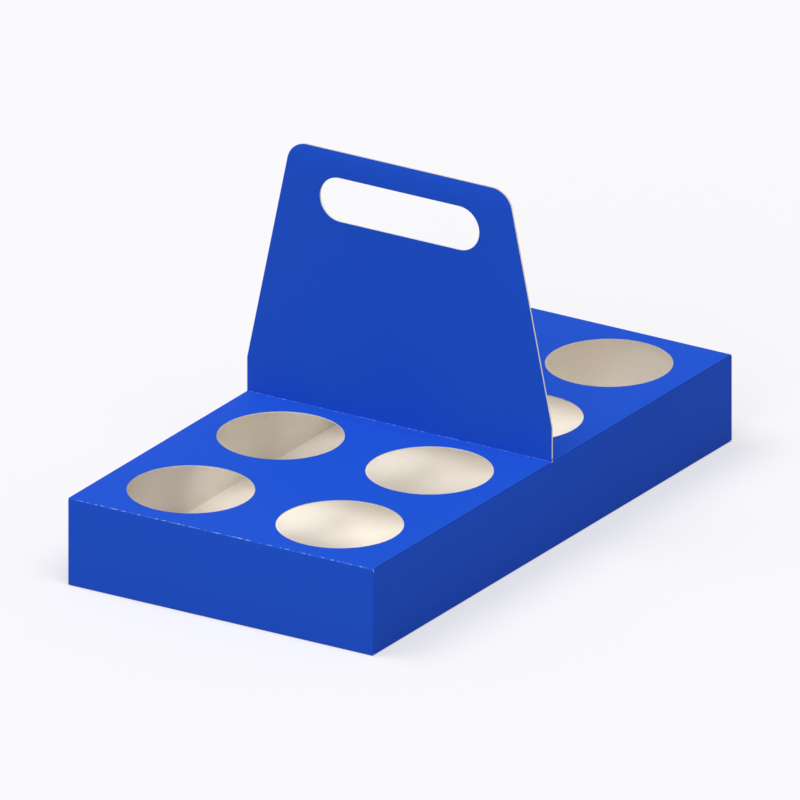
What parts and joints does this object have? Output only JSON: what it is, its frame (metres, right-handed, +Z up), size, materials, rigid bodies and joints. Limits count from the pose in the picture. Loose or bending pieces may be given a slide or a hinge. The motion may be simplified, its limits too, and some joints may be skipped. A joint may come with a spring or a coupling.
{
  "type": "cardboard cup carrier",
  "caption": "Low box folded from one sheet of solid board, with round cup holes in its top and a tall leaning-sided handle with a hand slot across the middle.",
  "frame": {"origin": "centre of the flat bottom, on the surface that the carrier stands on", "axes": "+Z up, +Y from the front short wall to the back one, +X to the right across the handle's width"},
  "size_m": [0.229, 0.432, 0.239],
  "materials": {
    "printed_board": "matte"
  },
  "bodies": {
    "root": {"folded_carrier": "printed_board"}
  },
  "joints": []
}
